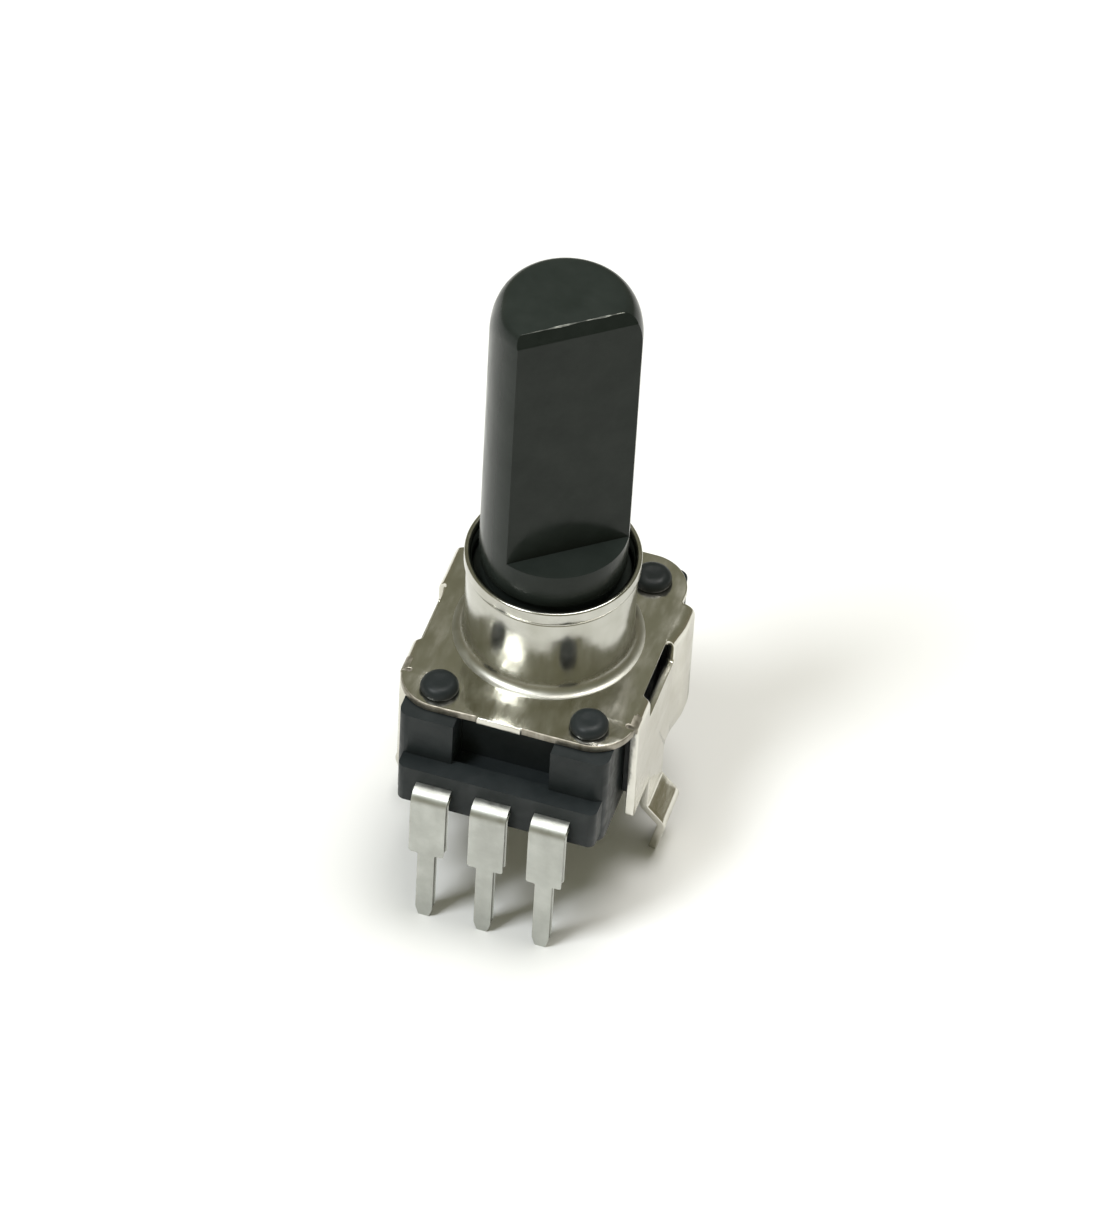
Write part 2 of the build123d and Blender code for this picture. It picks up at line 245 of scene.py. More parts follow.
def shaft_plastic():
    """Moulded shaft: near-black with a green-grey cast, glossy enough to mirror its own ledge."""
    k = Mat("shaft_plastic").set(spec=0.125)
    v = k.coords()
    k.colour(k.colours(k.noise(v, 0.7, 5.0), [(0.28, (0.0168, 0.0212, 0.0185)), (0.52, (0.0212, 0.0262, 0.0232)), (0.78, (0.0262, 0.0315, 0.0282))]))
    k.rough(k.ramp(k.noise(k.coords(1000, 1000, 350), 1.5, 4.0), 0.15, 0.27))
    n = k.bump(k.noise(k.coords(1000, 1000, 180), 6.0, 3.0, 0.6), 0.25, 0.003)
    n = k.bump(k.noise(v, 0.55, 2.0), 0.25, 0.02, n)
    k.normal(n)
    return k.m


def shaft_band_painted_shade():
    """The sloped band under the tip's edge: dull and rough, with a colour darker than the shaft's that is painted
    shade.
    """
    k = Mat("shaft_band_painted_shade").set(spec=0.08)
    v = k.coords()
    # base colour darker than the shaft plastic: painted shade on the sloped band
    k.colour(k.colours(k.noise(v, 1.2, 4.0), [(0.30, (0.0105, 0.0150, 0.0115)), (0.70, (0.0150, 0.0200, 0.0160))]))
    k.rough(k.ramp(k.noise(v, 4.0, 4.0), 0.42, 0.58))
    k.normal(k.bump(k.noise(v, 16.0, 4.0), 0.3, 0.004))
    return k.m


def flash_plastic():
    """Moulding flash on the tip's edge, coloured from near-black to pale grey in patches."""
    k = Mat("shaft_flash").set(spec=0.6)
    v = k.coords()
    k.colour(k.colours(k.noise(v, 1.6, 3.0), [(0.36, (0.05, 0.06, 0.055)), (0.52, (0.18, 0.19, 0.178)), (0.66, (0.55, 0.57, 0.53))]))
    k.rough(k.ramp(k.noise(v, 5.0, 3.0), 0.30, 0.5))
    k.normal(k.bump(k.noise(v, 20.0, 3.0), 0.4, 0.01))
    return k.m


def bronze():
    k = Mat("contact_bronze").set(metallic=1.0)
    v = k.coords()
    k.colour(k.colours(k.noise(v, 1.2, 4.0), [(0.30, (0.60, 0.37, 0.17)), (0.55, (0.74, 0.51, 0.27)), (0.80, (0.82, 0.62, 0.38))]))
    k.rough(k.ramp(k.noise(v, 3.0, 4.0), 0.18, 0.32))
    k.normal(k.bump(k.noise(k.coords(200, 1000, 1000), 9.0, 3.0), 0.25, 0.004))
    return k.m


def rotor_plastic():
    k = Mat("rotor_plastic").set(spec=0.5)
    v = k.coords()
    k.colour(k.colours(k.noise(v, 1.0, 4.0), [(0.30, (0.60, 0.575, 0.48)), (0.55, (0.70, 0.68, 0.59)), (0.80, (0.76, 0.745, 0.67))]))
    k.rough(k.ramp(k.noise(v, 3.0, 4.0), 0.30, 0.44))
    k.normal(k.bump(k.noise(v, 12.0, 4.0), 0.3, 0.005))
    return k.m


def spring_steel():
    k = Mat("spring_steel").set(metallic=1.0)
    v = k.coords()
    k.colour(k.colours(k.noise(v, 1.3, 4.0), [(0.30, (0.50, 0.50, 0.49)), (0.55, (0.60, 0.60, 0.585)), (0.80, (0.68, 0.68, 0.665))]))
    k.rough(k.ramp(k.noise(k.coords(160, 1000, 1000), 4.0, 4.0), 0.18, 0.34))
    k.normal(k.bump(k.noise(k.coords(120, 1000, 1000), 10.0, 3.0), 0.25, 0.003))
    return k.m


def washer_film():
    k = Mat("washer_film").set(spec=0.45)
    v = k.coords()
    k.colour(k.colours(k.noise(v, 1.5, 3.0), [(0.30, (0.66, 0.62, 0.50)), (0.70, (0.78, 0.755, 0.66))]))
    k.rough(k.ramp(k.noise(v, 4.0, 3.0), 0.28, 0.40))
    k.normal(k.bump(k.noise(v, 16.0, 3.0), 0.2, 0.003))
    return k.m


M_NICKEL, M_COLLAR_SHADED, M_TIN, M_CASE = nickel(), collar_nickel_shaded(), tin(), case_plastic()
M_SHAFT, M_FLASH, M_BRONZE, M_ROTOR = shaft_plastic(), flash_plastic(), bronze(), rotor_plastic()
M_SPRING, M_WASHER, M_EDGE, M_BAND_SHADE = spring_steel(), washer_film(), sheared_edge(), shaft_band_painted_shade()


# ------------------------------------------------------------ mesh helpers
# Meshes are made in millimetres and scaled to metres once, at the end.
def arc(cx, cy, r, a0, a1, n):
    """Points on an arc, angles in degrees, both ends included."""
    return [(cx + r * math.cos(math.radians(a0 + (a1 - a0) * i / n)),
             cy + r * math.sin(math.radians(a0 + (a1 - a0) * i / n))) for i in range(n + 1)]


def temp(me, name):
    o = bpy.data.objects.new(name, me)
    scene.collection.objects.link(o)
    return o


def bm_obj(bm, name):
    bmesh.ops.recalc_face_normals(bm, faces=bm.faces)
    me = bpy.data.meshes.new(name)
    bm.to_mesh(me)
    bm.free()
    return temp(me, name)


def applied(o):
    """Applies every modifier and returns the same object with a plain mesh."""
    dg = bpy.context.evaluated_depsgraph_get()
    me = bpy.data.meshes.new_from_object(o.evaluated_get(dg), depsgraph=dg)
    old = o.data
    if o.type != "MESH":
        n = temp(me, o.name + "_m")
        bpy.data.objects.remove(o)
        return n
    o.modifiers.clear()
    o.data = me
    bpy.data.meshes.remove(old)
    return o


def boolean(o, other, op):
    m = o.modifiers.new("b", "BOOLEAN")
    m.operation = op
    m.solver = "EXACT"
    m.object = other
    o = applied(o)
    bpy.data.objects.remove(other)
    return o


def bevel(o, width, segments=3, angle=35.0):
    m = o.modifiers.new("v", "BEVEL")
    m.width = width
    m.segments = segments
    m.limit_method = "ANGLE"
    m.angle_limit = math.radians(angle)
    m.use_clamp_overlap = True
    m.harden_normals = False
    m.miter_outer = "MITER_ARC"
    return applied(o)


def finish_piece(o, name, body, mat, replaces=(), angle=32.0):
    """Welds, smooths, scales to metres and hands the piece to its body."""
    me = o.data
    bm = bmesh.new()
    bm.from_mesh(me)
    bmesh.ops.remove_doubles(bm, verts=bm.verts, dist=1e-4)
    bmesh.ops.dissolve_degenerate(bm, edges=bm.edges, dist=1e-5)
    bmesh.ops.recalc_face_normals(bm, faces=bm.faces)
    bm.to_mesh(me)
    bm.free()
    me.transform(Matrix.Scale(MM, 4))
    me.shade_smooth()
    me.set_sharp_from_angle(angle=math.radians(angle))
    which = [p.material_index for p in me.polygons]
    me.materials.clear()
    mats = mat if isinstance(mat, (list, tuple)) else [mat]
    for m in mats:
        me.materials.append(m)
    me.polygons.foreach_set("material_index", [min(w, len(mats) - 1) for w in which])
    wn = o.modifiers.new("wn", "WEIGHTED_NORMAL")
    wn.mode = "FACE_AREA"
    wn.weight = 60
    wn.keep_sharp = True
    o = applied(o)
    o.name = name
    o.data.name = name
    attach(o, body)
    if replaces:
        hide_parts(*replaces)
    return o


def lathe(profile, seg=128, closed=False, name="lathe"):
    """Turns an (r, z) outline about Z. closed: the outline is a ring's section."""
    bm = bmesh.new()
    rings = []
    for r, z in profile:
        if r < 1e-6:
            rings.append([bm.verts.new((0, 0, z))])
        else:
            rings.append([bm.verts.new((r * math.cos(2 * math.pi * i / seg), r * math.sin(2 * math.pi * i / seg), z)) for i in range(seg)])
    pairs = list(zip(rings, rings[1:])) + ([(rings[-1], rings[0])] if closed else [])
    for a, b in pairs:
        if len(a) == 1 and len(b) == 1:
            continue
        for i in range(seg):
            j = (i + 1) % seg
            if len(a) == 1:
                bm.faces.new((a[0], b[i], b[j]))
            elif len(b) == 1:
                bm.faces.new((a[i], a[j], b[0]))
            else:
                bm.faces.new((a[i], a[j], b[j], b[i]))
    return bm_obj(bm, name)


def cylinder(r, z0, z1, x=0.0, y=0.0, seg=64, soft=0.0, name="cyl"):
    s = soft
    if s > 0:
        prof = [(0, z0), (r - s, z0)] + [(r - s + s * math.sin(math.radians(t)), z0 + s - s * math.cos(math.radians(t))) for t in (30, 60, 90)]
        prof += [(r - s + s * math.cos(math.radians(t)), z1 - s + s * math.sin(math.radians(t))) for t in (0, 30, 60)] + [(r - s, z1), (0, z1)]
    else:
        prof = [(0, z0), (r, z0), (r, z1), (0, z1)]
    o = lathe(prof, seg, name=name)
    o.data.transform(Matrix.Translation((x, y, 0)))
    return o


def block(x0, x1, y0, y1, z0, z1, name="block"):
    bm = bmesh.new()
    bmesh.ops.create_cube(bm, size=1.0)
    for v in bm.verts:
        v.co = Vector(((x0 + x1) / 2 + v.co.x * (x1 - x0), (y0 + y1) / 2 + v.co.y * (y1 - y0), (z0 + z1) / 2 + v.co.z * (z1 - z0)))
    return bm_obj(bm, name)


def prism(outline, z0, z1, name="prism"):
    """Closed XY outline extruded along Z, capped with single faces."""
    bm = bmesh.new()
    lo = [bm.verts.new((x, y, z0)) for x, y in outline]
    hi = [bm.verts.new((x, y, z1)) for x, y in outline]
    n = len(outline)
    for i in range(n):
        j = (i + 1) % n
        bm.faces.new((lo[i], lo[j], hi[j], hi[i]))
    bm.faces.new(lo)
    bm.faces.new(hi)
    return bm_obj(bm, name)


def round_rect(x0, x1, y0, y1, r, n=8):
    return (arc(x1 - r, y0 + r, r, -90, 0, n) + arc(x1 - r, y1 - r, r, 0, 90, n)
            + arc(x0 + r, y1 - r, r, 90, 180, n) + arc(x0 + r, y0 + r, r, 180, 270, n))


def stamped(outer, holes, thickness, soft, name):
    """Flat strip with rounded edges from an outline and its holes, mid-plane at Z = 0."""
    cu_ = bpy.data.curves.new(name, "CURVE")
    cu_.dimensions = "2D"
    cu_.fill_mode = "BOTH"
    cu_.resolution_u = 1
    for pts in [outer] + list(holes):
        sp = cu_.splines.new("POLY")
        sp.points.add(len(pts) - 1)
        for p, (x, y) in zip(sp.points, pts):
            p.co = (x, y, 0, 1)
        sp.use_cyclic_u = True
    cu_.extrude = thickness / 2 - soft
    cu_.bevel_depth = soft
    cu_.bevel_resolution = 2
    cu_.offset = -soft
    o = temp(cu_, name)
    o = applied(o)
    bm = bmesh.new()
    bm.from_mesh(o.data)
    bmesh.ops.remove_doubles(bm, verts=bm.verts, dist=2e-4)
    bmesh.ops.recalc_face_normals(bm, faces=bm.faces)
    bm.to_mesh(o.data)
    bm.free()
    return o


class Path:
    """A polyline in a plane with a fillet at each inner corner, walked by its length."""

    def __init__(self, pts, radii):
        self.seg = []
        cur = Vector(pts[0])
        for i in range(1, len(pts) - 1):
            p = Vector(pts[i])
            d0 = (p - Vector(pts[i - 1])).normalized()
            d1 = (Vector(pts[i + 1]) - p).normalized()
            turn = d0.angle_signed(d1)          # positive is clockwise in Blender
            r = radii[i - 1]
            t = r * math.tan(abs(turn) / 2)
            a = p - d0 * t
            self.seg.append(("line", cur, d0, (a - cur).length))
            side = 1.0 if turn < 0 else -1.0     # +1 when the turn is to the left
            nrm = Vector((-d0.y, d0.x)) * side
            self.seg.append(("arc", a + nrm * r, -nrm, r, side, abs(turn) * r))
            cur = p + d1 * t
        d = (Vector(pts[-1]) - cur)
        self.seg.append(("line", cur, d.normalized(), d.length))
        self.starts = []
        s = 0.0
        for g in self.seg:
            self.starts.append(s)
            s += g[-1]
        self.length = s

    def at(self, s):
        """Point and tangent at length s (runs on straight past either end)."""
        i = 0
        while i + 1 < len(self.seg) and s > self.starts[i + 1]:
            i += 1
        g = self.seg[i]
        u = s - self.starts[i]
        if g[0] == "line":
            return g[1] + g[2] * u, g[2]
        _, c, v, r, side, _l = g
        a = side * u / r
        ca, sa = math.cos(a), math.sin(a)
        w = Vector((v.x * ca - v.y * sa, v.x * sa + v.y * ca))
        return c + w * r, Vector((-w.y, w.x)) * side

    def cuts(self, step):
        """Lengths where a strip needs an edge loop to follow the bends."""
        out = []
        for g, s in zip(self.seg, self.starts):
            if g[0] == "arc":
                n = max(3, int(math.ceil(g[-1] / step)))
                out += [s + g[-1] * k / n for k in range(n + 1)]
        return out


def slice_loops(o, values, axis=0):
    bm = bmesh.new()
    bm.from_mesh(o.data)
    nrm = Vector((1, 0, 0)) if axis == 0 else Vector((0, 1, 0))
    for v in values:
        bmesh.ops.bisect_plane(bm, geom=bm.verts[:] + bm.edges[:] + bm.faces[:], dist=1e-4, plane_co=nrm * v, plane_no=nrm)
    bm.to_mesh(o.data)
    bm.free()


# ------------------------------------------------------------- cover_frame
T = 0.35
PLATE_TOP = 6.45
MID = PLATE_TOP - T / 2
cover_path = Path([(0, MID), (5.05 - T / 2, MID), (5.05 - T / 2, -0.80), (5.70, -1.68), (5.42 - T / 2, -3.72)], [0.275, 0.40, 0.35])
S_BEND = cover_path.starts[2]                          # where the flap's straight run starts
S_FLAP = S_BEND + (6.0 - 0.95)
S_TIP = cover_path.length
FY0, FY1 = -3.95, 3.30
EAR_Y = -4.12                                           # ahead of this line the plate stays flat
LY, LW, LT = -0.50, 1.05, 0.70


def cover_half(side):
    """Right half of the flat pattern, from the front of the centre line to the rear."""
    pts = [(0.0, -5.72)]
    if side > 0:
        pts += [(0.60, -5.72), (0.66, -5.66)]            # where the strip's carrier was cut off
    else:
        pts += [(1.22, -5.72), (1.28, -5.66)]
    pts += arc(3.17, -3.91, 1.75, -90, -7, 16)
    pts += [(4.895, EAR_Y - 0.02), (4.86, EAR_Y), (4.60, EAR_Y), (4.55, EAR_Y + 0.04), (4.55, FY0 - 0.04), (4.60, FY0)]
    r = 0.32
    pts += arc(S_FLAP - r, FY0 + r, r, -90, 0, 6)
    c = 0.16
    y0 = LY - LW
    pts += [(S_FLAP + c - c * math.cos(math.radians(t)), y0 - c + c * math.sin(math.radians(t))) for t in (0, 30, 60, 90)]
    s_k = S_TIP - 1.78
    pts += [(s_k, y0)]
    q = 0.22
    pts += [(S_TIP - q, LY - LT - 0.04), (S_TIP - 0.06, LY - LT + 0.09), (S_TIP, LY - LT + q)]
    pts += [(S_TIP, LY + LT - q), (S_TIP - 0.06, LY + LT - 0.09), (S_TIP - q, LY + LT + 0.04)]
    y1 = LY + LW
    pts += [(s_k, y1)]
    pts += [(S_FLAP + c - c * math.sin(math.radians(t)), y1 + c - c * math.cos(math.radians(t))) for t in (0, 30, 60, 90)]
    pts += arc(S_FLAP - r, FY1 - r, r, 0, 90, 6)
    pts += [(4.66, FY1), (4.60, FY1 + 0.06), (4.60, FY1 + 0.30)]
    pts += arc(2.90, 3.85, 1.70, 0, 90, 14)
    pts += [(0.0, 5.55)]
    return pts


flat_outline = cover_half(1) + [(-x, y) for x, y in reversed(cover_half(-1)) if x > 1e-6]
holes = []
for sx in (-1, 1):
    for py in (-4.60, 4.10):
        holes.append([(sx * 3.15 + 0.66 * math.cos(2 * math.pi * i / 40), py + 0.66 * math.sin(2 * math.pi * i / 40)) for i in range(40)])
    a, b = sorted((sx * 4.66, sx * (S_BEND + 0.70)))
    holes.append(round_rect(a, b, -2.25, 1.10, 0.14, 4))
holes.append([(4.05 * math.cos(2 * math.pi * i / 96), 4.05 * math.sin(2 * math.pi * i / 96)) for i in range(96)])
cover = stamped(flat_outline, holes, T, 0.055, "cover_sheet")
cuts = cover_path.cuts(0.05)
slice_loops(cover, cuts + [-c for c in cuts])
slice_loops(cover, [-4.45 - 0.12 * i for i in range(10)], 1)
slice_loops(cover, [-3.4 + 0.4 * i for i in range(15)], 0)
slice_loops(cover, [1.16 + 0.13 * i for i in range(11)], 1)

def lip(x, y):
    """The front margin stands up a hair where the carrier strip was cut off."""
    a = max(0.0, min(1.0, (-4.45 - y) / 1.10))
    a = a * a * (3 - 2 * a)
    return 0.060 * a * math.exp(-((x + 0.75) / 1.35) ** 2)


for v in cover.data.vertices:
    v.co.z += lip(v.co.x, v.co.y) if v.co.y < -4.4 else 0.0
    s = abs(v.co.x)
    if v.co.y < (EAR_Y + FY0) / 2:                       # the ears ahead of the flaps stay flat
        v.co.z += MID
        continue
    p, t = cover_path.at(s)
    nrm = Vector((-t.y, t.x))                           # up on the plate, outward on the flap
    q = p + nrm * v.co.z
    x = math.copysign(q.x, v.co.x) if s > 1e-9 else 0.0
    if v.co.x > 4.3 and v.co.y > 1.0:                    # the right flap's rear lobe stands a little wide
        f = min(1.0, (v.co.y - 1.0) / 1.5)
        g = min(1.0, (s - 4.3) / 0.8)
        x += 0.20 * f * f * (3 - 2 * f) * g * g * (3 - 2 * g)
    v.co = Vector((x, v.co.y, max(q.y, -3.75)))

ring = []
ring += [(3.27, 6.25), (3.90, 6.25), (3.90, 6.16), (4.22, 6.16), (4.22, 6.4504)]
ring += [(3.98 - 0.50 * math.cos(math.radians(t)), 6.9504 - 0.50 * math.sin(math.radians(t))) for t in range(90, -1, -6)]
ring += [(3.48, 7.3), (3.48, 8.2), (3.48, 9.3), (3.48, 10.18), (3.474, 10.215), (3.458, 10.235), (3.452, 10.26), (3.452, 10.33), (3.458, 10.355)]
ring += [(3.485, 10.375), (3.53, 10.385), (3.562, 10.40), (3.578, 10.43), (3.584, 10.48), (3.588, 10.60), (3.586, 10.80)]
ring += arc(3.586 - 0.09, 10.91, 0.09, 0, 90, 6)
ring += [(3.44, 11.0), (3.41, 10.992), (3.33, 10.92), (3.29, 10.85), (3.275, 10.78), (3.27, 10.70), (3.27, 9.0), (3.27, 7.5)]
collar = lathe(ring, 144, closed=True, name="collar")
cover.data.materials.append(M_NICKEL)
cover.data.materials.append(M_COLLAR_SHADED)
collar.data.materials.append(M_NICKEL)
collar.data.materials.append(M_COLLAR_SHADED)
# the collar above the plate takes the darker copy of the plating, which is painted shade
for p in collar.data.polygons:
    p.material_index = 1 if p.center.z > 6.455 else 0
cover = boolean(cover, collar, "UNION")
for p in cover.data.polygons:
    c, n = p.center, p.normal
    nub = c.y < -5.5 and -1.26 < c.x < 0.64
    if c.y < -3.3 and abs(c.z - MID) < T / 2 + 0.10 and abs(c.x) < 5.0 and abs(n.z) < 0.975 and n.y < 0.2 and math.hypot(c.x, c.y) > 4.4 and not nub:
        p.material_index = 2
finish_piece(cover, "cover_visual", "case", (M_NICKEL, M_COLLAR_SHADED, M_EDGE), ("cover_frame",), 30.0)

# ----------------------------------------------------------------- housing
HX, HF, HR, HB, HT = 4.40, -6.20, 5.40, 1.60, 6.10
house = prism(round_rect(-HX, HX, HF, HR, 0.5, 8), HB, HT, "house")
front = prism(round_rect(-4.10, 4.28, -6.98, -5.2, 0.32, 6), 2.05, 3.95, "front")
house = boolean(house, front, "UNION")
house = boolean(house, block(-2.05, 2.05, HF - 2, -4.95, 3.95 - 0.001, HT + 1), "DIFFERENCE")
house = boolean(house, block(-2.05, 2.05, -5.98, -4.95, 3.52, HT), "DIFFERENCE")
for sx in (-1, 1):
    x0, x1 = sorted((sx * (HX - 0.3), sx * 4.68))
    house = boolean(house, block(x0, x1, -3.4, -2.4, HB + 0.3, 5.1), "UNION")
    house = boolean(house, block(x0, x1, 1.4, 2.6, HB + 0.3, 5.1), "UNION")
house = bevel(house, 0.09, 3, 40)
house = boolean(house, cylinder(3.90, 3.27, HT + 1, seg=128), "DIFFERENCE")
house = boolean(house, block(-3.30, 3.30, -4.66, -3.0, 4.75, HT + 1), "DIFFERENCE")
house = boolean(house, cylinder(1.36, 1.95, 4.5, seg=64), "DIFFERENCE")
for sx in (-1, 1):
    x0, x1 = sorted((sx * 2.05, sx * 3.75))
    house = boolean(house, block(x0, x1, -1.2, 2.9, HB - 1, 2.45), "DIFFERENCE")
house = boolean(house, block(-1.5, 1.5, 2.3, 4.6, HB - 1, 2.45), "DIFFERENCE")
for i, end in ((-1, -1.4), (0, -2.9), (1, -1.4)):
    house = boolean(house, block(i * 2.5 - 0.71, i * 2.5 + 0.71, HF - 2, end, 2.86, 3.28), "DIFFERENCE")
house = boolean(house, cylinder(1.75, 0.0, 1.90, seg=72, soft=0.12), "UNION")
for sx in (-1, 1):
    for py in (-3.6, 4.2):
        house = boolean(house, cylinder(0.62, 0.0, HB + 0.35, sx * 3.1, py, 40, 0.10), "UNION")
    for py in (-4.60, 4.10):
        house = boolean(house, cylinder(0.60, HT - 0.4, PLATE_TOP + 0.08, sx * 3.15, py, 48), "UNION")
finish_piece(house, "housing_visual", "case", M_CASE, ("housing",), 30.0)

# heat-staked heads: squeezed domes with a shallow dimple, no two alike
k = 0
for sx in (-1, 1):
    for py in (-4.60, 4.10):
        k += 1
        prof = [(0, PLATE_TOP + 0.001), (0.72, PLATE_TOP + 0.001), (0.768, PLATE_TOP + 0.02), (0.792, PLATE_TOP + 0.07), (0.797, PLATE_TOP + 0.14),
                (0.790, PLATE_TOP + 0.22), (0.765, PLATE_TOP + 0.30), (0.715, PLATE_TOP + 0.375), (0.64, PLATE_TOP + 0.435), (0.55, PLATE_TOP + 0.475),
                (0.44, PLATE_TOP + 0.496), (0.33, PLATE_TOP + 0.492), (0.20, PLATE_TOP + 0.478), (0, PLATE_TOP + 0.470)]
        h = lathe(prof, 56, name="head")
        for v in h.data.vertices:
            if v.co.z > PLATE_TOP + 0.01:
                n1 = noise.noise(Vector((v.co.x * 1.6 + 7.3 * k, v.co.y * 1.6, 0.0)))
                n2 = noise.noise(Vector((v.co.x * 4.5, v.co.y * 4.5 + 3.1 * k, 5.0)))
                f = 1.0 - 0.035 * (0.5 + 0.5 * n1)
                v.co.x *= f
                v.co.y *= f
                v.co.z -= 0.020 * (0.5 + 0.5 * n1) + 0.010 * (0.5 + 0.5 * n2)
        h.data.transform(Matrix.Translation((sx * 3.15, py, 0)))
        finish_piece(h, "staked_head_%d" % k, "case", M_CASE, ("housing",), 40.0)

# --------------------------------------------------------------- terminals
def terminal(name, ix, inner):
    st, w, leg = 0.40, 1.40, 0.62
    path = Path([(inner, 3.07), (-7.53, 3.07), (-7.53, -3.75)], [0.42])
    L = path.length
    s_sh = L - 3.75                                     # the shoulder, in the board's plane
    h = [(0.0, 0.0), (0.0, w / 2 - 0.06), (0.06, w / 2)]
    h += [(s_sh - 0.07, w / 2), (s_sh - 0.02, w / 2 - 0.02), (s_sh, w / 2 - 0.07), (s_sh, leg / 2 + 0.10), (s_sh + 0.03, leg / 2 + 0.03), (s_sh + 0.10, leg / 2)]
    h += [(L - 0.48, leg / 2), (L - 0.40, leg / 2 - 0.015), (L - 0.06, leg / 2 - 0.12), (L - 0.01, leg / 2 - 0.16), (L, leg / 2 - 0.20), (L, 0.0)]
    outline = h + [(x, -y) for x, y in reversed(h) if y > 1e-6]
    o = stamped(outline, [], st, 0.05, name)
    slice_loops(o, path.cuts(0.055))
    for v in o.data.vertices:
        s, x, wv = v.co.x, v.co.y, v.co.z
        p, t = path.at(s)
        nrm = Vector((t.y, -t.x))                       # up on the run, forward on the leg
        q = p + nrm * wv
        v.co = Vector((ix * 2.5 + x, q.x, max(q.y, -3.75)))
    return finish_piece(o, name + "_visual", "case", M_TIN, (name,), 30.0)


terminal("terminal_a", -1, -1.4)
terminal("terminal_c", 0, -2.9)
terminal("terminal_b", 1, -1.4)

# ------------------------------------------------------------------- shaft
SR, ST = 3.0, 24.985
FA = math.radians(37.5)
FN = Vector((math.sin(FA), -math.cos(FA), 0))           # out of the flat
FC = Vector((math.cos(FA), math.sin(FA), 0))            # along the chord


def tip_round(phi):
    """Radial and axial size of the tip's rounding, phi in degrees from the flat's normal,
    positive towards +FC. It is sharper beside the flat's left corner."""
    a = max(0.0, min(1.0, (abs(phi + 60.0) - 8.0) / 50.0))
    a = a * a * (3 - 2 * a)
    return 0.30 + (0.88 - 0.30) * a, 0.70 + (1.80 - 0.70) * a


def make_shaft():
    seg = 192
    low = [(0, 2.05), (1.22, 2.05), (1.30, 2.13), (1.30, 4.62), (2.20, 4.62), (2.20, 5.79), (3.57, 5.79), (3.60, 5.82), (3.60, 6.02), (3.57, 6.05),
           (3.20, 6.05), (3.20, 10.10), (3.15, 10.15), (2.80, 10.15), (2.80, 10.85), (2.95, 10.85), (2.985, 10.862), (3.0, 10.90)]
    zs = [11.3, 12.0, 12.5, 13.5, 15.5, 18.0, 20.5, 22.2, 23.1]
    ntip = 16
    bm = bmesh.new()
    rings = []

    def ring_at(f):
        out = []
        for i in range(seg):
            a = 2 * math.pi * i / seg
            d = Vector((math.cos(a), math.sin(a), 0))
            phi = math.degrees(math.atan2(d.dot(FC), d.dot(FN)))
            r, z = f(phi)
            out.append(bm.verts.new((d.x * r, d.y * r, z)))
        return out

    for r, z in low:
        if r < 1e-6:
            rings.append([bm.verts.new((0, 0, z))])
        else:
            rings.append(ring_at(lambda phi, r=r, z=z: (r, z)))
    for z in zs:
        rings.append(ring_at(lambda phi, z=z: (SR, z)))
    for j in range(ntip + 1):
        t = math.radians(90.0 * j / ntip)

        def f(phi, t=t):
            ra, ax = tip_round(phi)
            return SR - ra + ra * math.cos(t), ST - 0.03 - ax + ax * math.sin(t)
        rings.append(ring_at(f))
    for q, dz in ((0.8, 0.004), (0.55, 0.016), (0.3, 0.025), (0.12, 0.029)):
        rings.append(ring_at(lambda phi, q=q, dz=dz: ((SR - tip_round(phi)[0]) * q, ST - 0.03 + dz)))
    rings.append([bm.verts.new((0, 0, ST))])
    for a, b in zip(rings, rings[1:]):
        for i in range(seg):
            j = (i + 1) % seg
            if len(a) == 1:
                bm.faces.new((a[0], b[j], b[i]))
            elif len(b) == 1:
                bm.faces.new((a[i], a[j], b[0]))
            else:
                bm.faces.new((a[i], a[j], b[j], b[i]))
    o = bm_obj(bm, "shaft_v")

    # cutter for the D: its face is the flat, with the sloped band under the tip's edge
    sec = [(1.5, 12.5), (1.5, 24.27), (1.46, 24.36), (1.345, ST - 0.03), (1.32, 27.0), (6.0, 27.0), (6.0, 12.5)]
    cb_ = bmesh.new()
    rows = []
    for u in (-5.0, 5.0):
        rows.append([cb_.verts.new(FN * d + FC * u + Vector((0, 0, z))) for d, z in sec])
    n = len(sec)
    for i in range(n):
        j = (i + 1) % n
        cb_.faces.new((rows[0][i], rows[0][j], rows[1][j], rows[1][i]))
    cb_.faces.new(rows[0])
    cb_.faces.new(rows[1])
    o = boolean(o, bm_obj(cb_, "cut"), "DIFFERENCE")
    for s in (-1, 1):
        x0, x1 = sorted((s * 1.55, s * 4.2))
        o = boolean(o, block(x0, x1, -4.2, 4.2, 4.0, 5.79), "DIFFERENCE")
    return o


shaft = make_shaft()
shaft = bevel(shaft, 0.035, 2, 38)
tip_tree = BVHTree.FromPolygons([v.co.copy() for v in shaft.data.vertices], [tuple(p.vertices) for p in shaft.data.polygons])
shaft.data.materials.append(M_SHAFT)
shaft.data.materials.append(M_BAND_SHADE)
# the sloped band takes the second material, whose darker colour is painted shade
for p in shaft.data.polygons:
    tilt = p.normal.dot(FN)
    if p.center.z > 24.25 and 0.35 < tilt < 0.9999 and abs(p.center.dot(FN) - 1.42) < 0.10 and p.normal.z > 0.02 and abs(p.normal.dot(FC)) < 0.2:
        p.material_index = 1
finish_piece(shaft, "shaft_visual", "spindle", (M_SHAFT, M_BAND_SHADE), ("shaft",), 26.0)

# thin torn ridge of flash along the tip's front edge
bm = bmesh.new()
prev = None
N = 90
def tip_top(u):
    """Height of the tip's top surface just behind its front edge."""
    c = FN * 1.31 + FC * u
    hit = tip_tree.ray_cast(Vector((c.x, c.y, 30.0)), Vector((0, 0, -1)))
    return hit[0].z if hit[0] else 0.0


